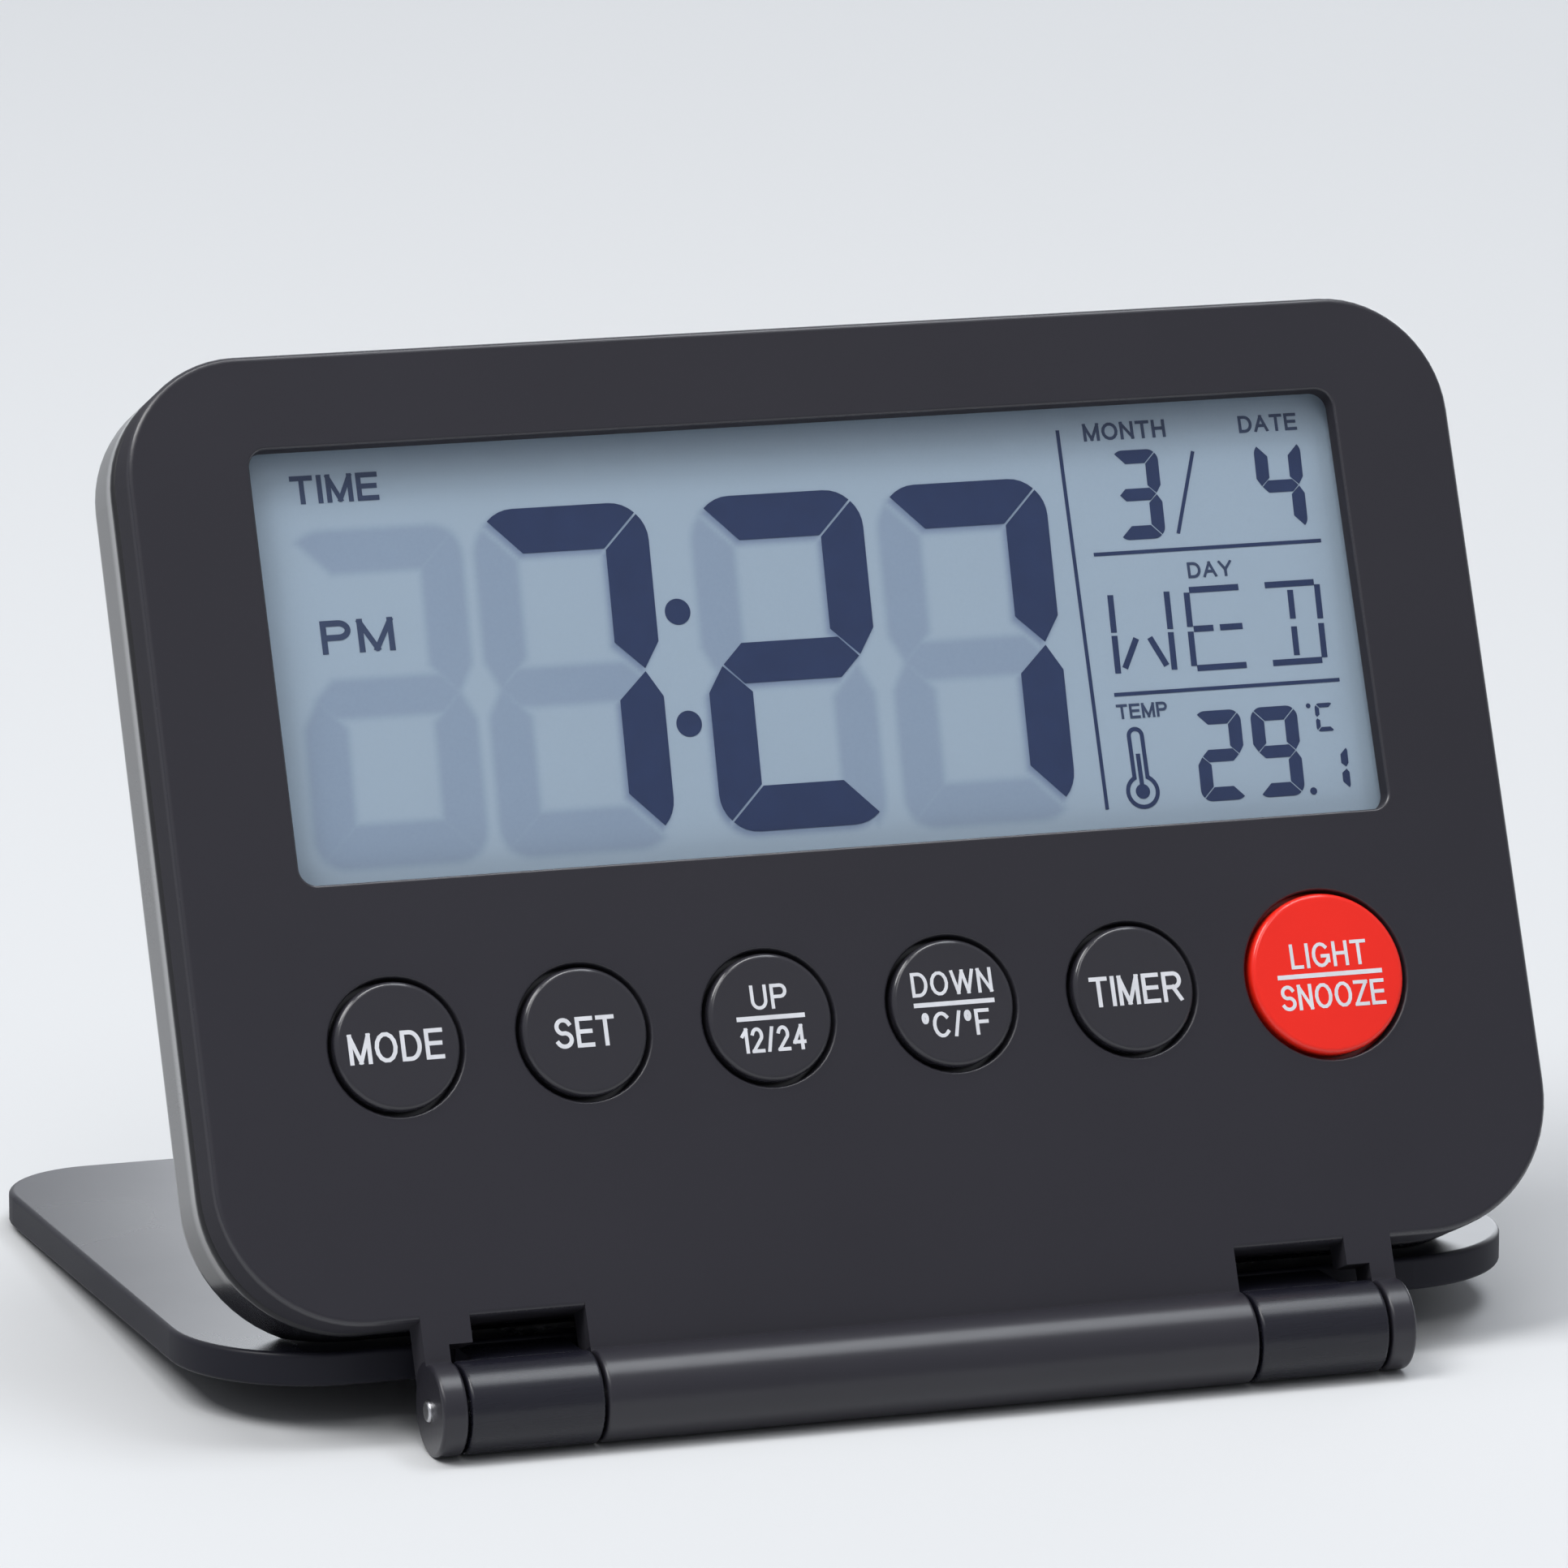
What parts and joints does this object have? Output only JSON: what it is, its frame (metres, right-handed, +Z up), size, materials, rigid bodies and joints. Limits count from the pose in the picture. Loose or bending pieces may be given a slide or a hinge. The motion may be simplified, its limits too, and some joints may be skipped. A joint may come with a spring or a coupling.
{
  "type": "folding travel alarm clock",
  "caption": "Flat travel alarm clock with a wide display over a row of round buttons; its hinged cover swings right round behind it to stand it leaning back.",
  "frame": {"origin": "middle of the open clock's footprint, on the surface it stands on", "axes": "+X along the hinge to the clock's right as seen from the front, +Y towards the back, +Z up"},
  "size_m": [0.1106, 0.0752, 0.078],
  "materials": {
    "case_front": "fine matt grain",
    "case_rear": "fine matt grain",
    "clear_window": "clear",
    "film": "satin",
    "display_glass": "satin",
    "light_guide": "clear",
    "side_light": "gloss",
    "white_frame": "matt",
    "contact_rubber": "matt",
    "board": "solder resist",
    "resin": "satin",
    "steel": "brushed",
    "component": "matt",
    "switch": "matt",
    "spring_brass": "plain",
    "lead": "satin",
    "cover": "satin",
    "black_key": "satin",
    "red_key": "satin",
    "plunger": "plain"
  },
  "bodies": {
    "case": {"front_shell": "case_front", "rear_shell": "case_rear", "display_window": "clear_window", "display_films": "film", "display_glass": "display_glass", "light_guide": "light_guide", "side_lights": "side_light", "display_frame": "white_frame", "contact_strip": "contact_rubber", "main_board": "board", "clock_chip": "resin", "quartz_crystal": "steel", "temperature_sensor": "resin", "board_components": "component", "switch_bodies": "switch", "coin_cell": "steel", "contact_plus": "spring_brass", "contact_minus": "spring_brass", "piezo_buzzer": "spring_brass", "buzzer_leads": "lead", "case_screws": "steel", "board_screws": "steel", "hinge_pin_left": "steel", "hinge_pin_right": "steel"},
    "cover": {"cover": "cover"},
    "battery_door": {"battery_door": "case_rear"},
    "mode_key": {"mode_button": "black_key", "mode_plunger": "plunger"},
    "set_key": {"set_button": "black_key", "set_plunger": "plunger"},
    "up_key": {"up_button": "black_key", "up_plunger": "plunger"},
    "down_key": {"down_button": "black_key", "down_plunger": "plunger"},
    "timer_key": {"timer_button": "black_key", "timer_plunger": "plunger"},
    "light_key": {"light_button": "red_key", "light_plunger": "plunger"}
  },
  "joints": [
    {"name": "cover_hinge", "type": "hinge", "parent": "case", "child": "cover", "pos_m": [0, -0.03398, 0.0036], "axis": [-1, 0, 0], "range_deg": [0, 292.65]},
    {"name": "battery_door_turn", "type": "hinge", "parent": "case", "child": "battery_door", "pos_m": [0, -0.01177, 0.0239], "axis": [0, -0.8979, 0.4402], "range_deg": [0, 55]},
    {"name": "mode_press", "type": "slide", "parent": "case", "child": "mode_key", "axis": [0, 0.8979, -0.4402], "range_m": [0, 0.0004], "stiffness_N_per_m": 1200, "springref_m": -0.0006},
    {"name": "set_press", "type": "slide", "parent": "case", "child": "set_key", "axis": [0, 0.8979, -0.4402], "range_m": [0, 0.0004], "stiffness_N_per_m": 1200, "springref_m": -0.0006},
    {"name": "up_press", "type": "slide", "parent": "case", "child": "up_key", "axis": [0, 0.8979, -0.4402], "range_m": [0, 0.0004], "stiffness_N_per_m": 1200, "springref_m": -0.0006},
    {"name": "down_press", "type": "slide", "parent": "case", "child": "down_key", "axis": [0, 0.8979, -0.4402], "range_m": [0, 0.0004], "stiffness_N_per_m": 1200, "springref_m": -0.0006},
    {"name": "timer_press", "type": "slide", "parent": "case", "child": "timer_key", "axis": [0, 0.8979, -0.4402], "range_m": [0, 0.0004], "stiffness_N_per_m": 1200, "springref_m": -0.0006},
    {"name": "light_press", "type": "slide", "parent": "case", "child": "light_key", "axis": [0, 0.8979, -0.4402], "range_m": [0, 0.0004], "stiffness_N_per_m": 1200, "springref_m": -0.0006}
  ]
}
